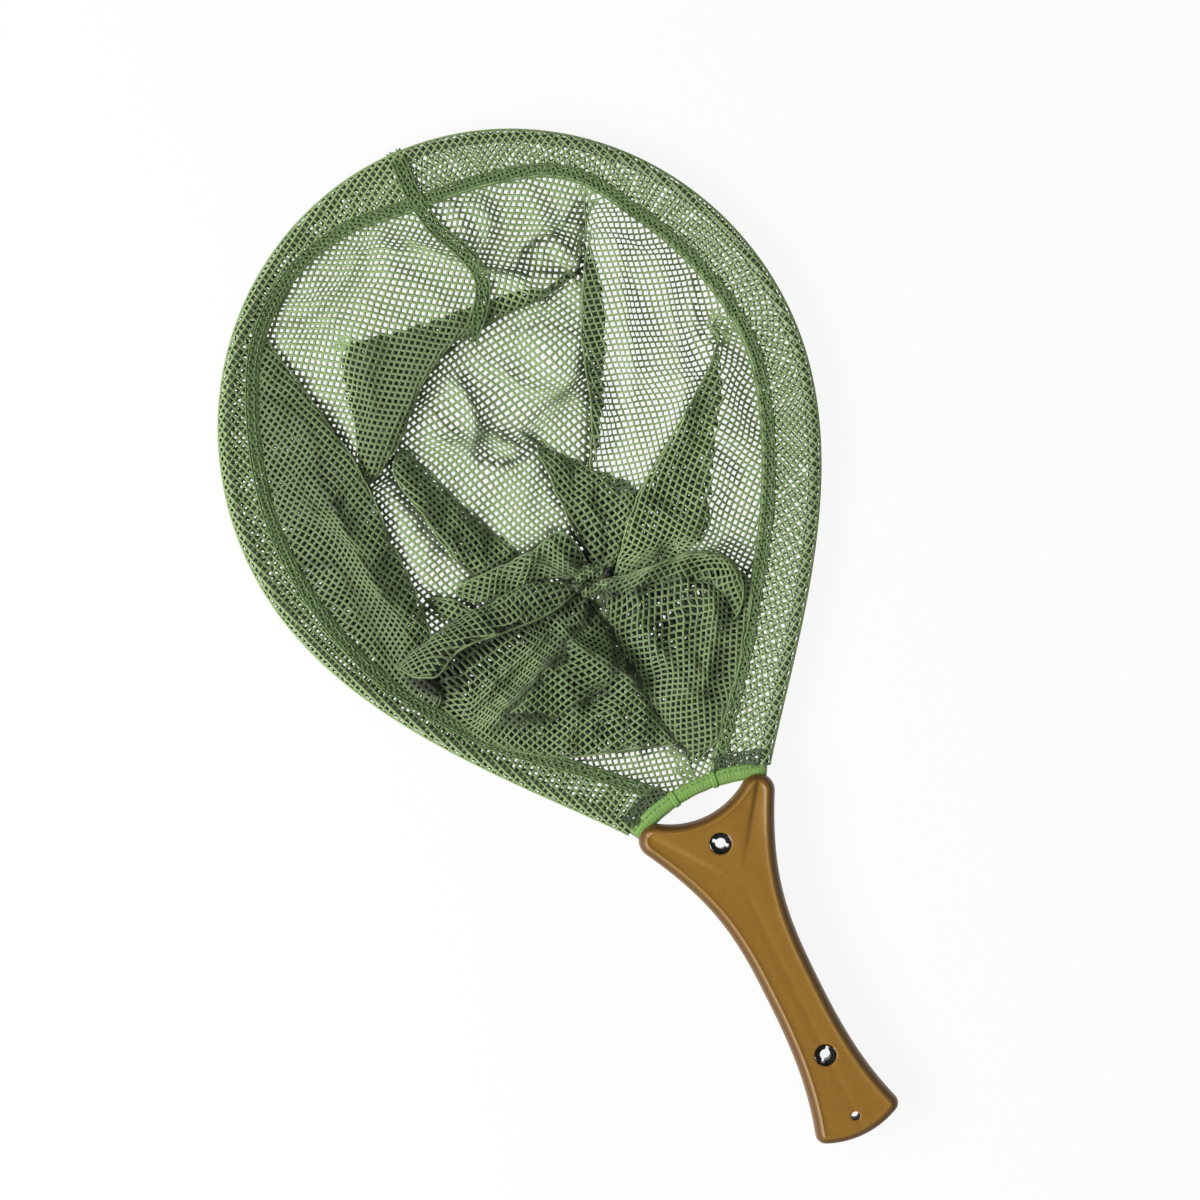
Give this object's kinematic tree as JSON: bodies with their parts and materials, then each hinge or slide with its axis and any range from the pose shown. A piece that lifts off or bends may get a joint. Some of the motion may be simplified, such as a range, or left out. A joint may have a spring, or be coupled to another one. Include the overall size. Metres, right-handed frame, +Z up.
{
  "type": "landing net",
  "caption": "Hand-held fishing landing net: a teardrop hoop with a hemmed mesh bag, a bound throat and a short moulded handle with a forked yoke.",
  "frame": {"origin": "middle of the box round the part, at the surface that it lies on", "axes": "+Y from the butt of the handle to the tip of the hoop, +Z up from the table, +X to the right of +Y seen from above"},
  "size_m": [0.299, 0.544, 0.022],
  "materials": {
    "handle_plastic": "fine moulded texture, satin",
    "rivet_nylon": "smooth black",
    "rod_steel": "drawn spring steel",
    "binding_tape": "woven, slight sheen",
    "knitted_mesh": "knitted open mesh"
  },
  "bodies": {
    "root": {"handle_front_shell": "handle_plastic", "handle_back_shell": "handle_plastic", "yoke_rivet_stud": "rivet_nylon", "yoke_rivet_cap": "rivet_nylon", "grip_rivet_stud": "rivet_nylon", "grip_rivet_cap": "rivet_nylon", "hoop_rod": "rod_steel", "throat_rod": "rod_steel", "throat_tape_left": "binding_tape", "throat_tape_mid": "binding_tape", "throat_tape_right": "binding_tape", "throat_cuff_left": "binding_tape", "throat_cuff_right": "binding_tape", "hem_sleeve": "knitted_mesh", "hem_facing": "knitted_mesh", "bag_body": "knitted_mesh", "bag_seam": "knitted_mesh", "gather_tie": "knitted_mesh"}
  },
  "joints": []
}
